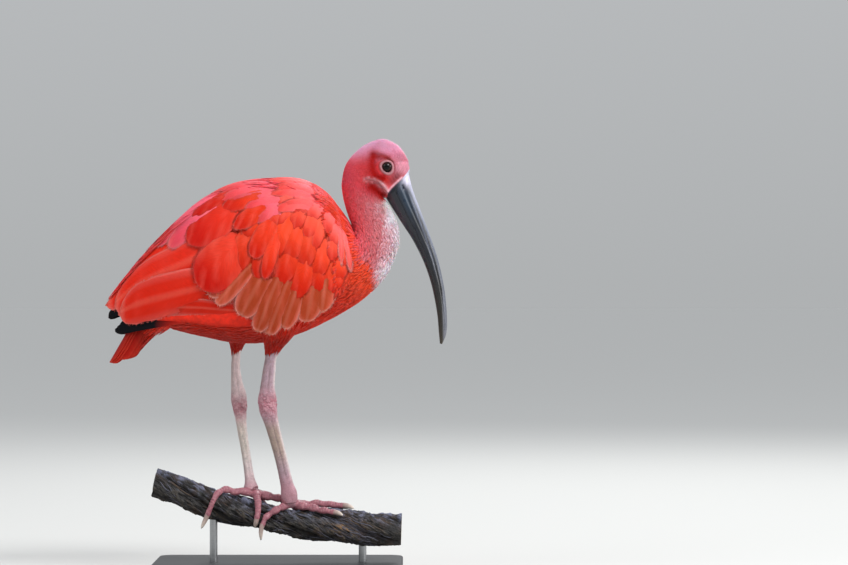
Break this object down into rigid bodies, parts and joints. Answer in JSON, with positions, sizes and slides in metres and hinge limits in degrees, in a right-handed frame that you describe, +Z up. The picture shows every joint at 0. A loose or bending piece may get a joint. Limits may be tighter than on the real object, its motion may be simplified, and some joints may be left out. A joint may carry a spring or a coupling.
{
  "type": "scarlet ibis on a vine perch",
  "caption": "Life-size still model of a standing scarlet ibis with folded wings and a long curved bill, gripping a short twisted vine on a plain stand.",
  "frame": {"origin": "middle of the underside of the stand's base", "axes": "+X towards the bird's front and bill, +Y towards its left side, +Z up"},
  "size_m": [0.3087, 0.144, 0.3935],
  "materials": {
    "scarlet_feather": "soft layered feather",
    "rose_feather": "short dense feather and bare skin",
    "pale_neck_feather": "short ruffled feather",
    "slate_horn": "smooth horn, satin",
    "dark_glass": "polished glass eye",
    "leg_skin": "bare scaled skin",
    "claw_horn": "worn horn",
    "vine_bark": "fibrous bark",
    "brushed_steel": "brushed",
    "charcoal_lacquer": "lacquered"
  },
  "bodies": {
    "root": {"torso": "scarlet_feather", "neck": "pale_neck_feather", "head": "rose_feather", "eye_left": "dark_glass", "eye_right": "dark_glass", "bill_upper": "slate_horn", "bill_lower": "slate_horn", "wing_left": "scarlet_feather", "wing_right": "scarlet_feather", "tail": "scarlet_feather", "thigh_right": "scarlet_feather", "shank_right": "leg_skin", "tarsus_right": "leg_skin", "foot_right": "leg_skin", "claw_right_hallux": "claw_horn", "claw_right_inner": "claw_horn", "claw_right_middle": "claw_horn", "claw_right_outer": "claw_horn", "thigh_left": "scarlet_feather", "shank_left": "leg_skin", "tarsus_left": "leg_skin", "foot_left": "leg_skin", "claw_left_hallux": "claw_horn", "claw_left_inner": "claw_horn", "claw_left_middle": "claw_horn", "claw_left_outer": "claw_horn", "perch_vine": "vine_bark", "stand_rod_1": "brushed_steel", "stand_rod_2": "brushed_steel", "stand_base": "charcoal_lacquer"}
  },
  "joints": []
}
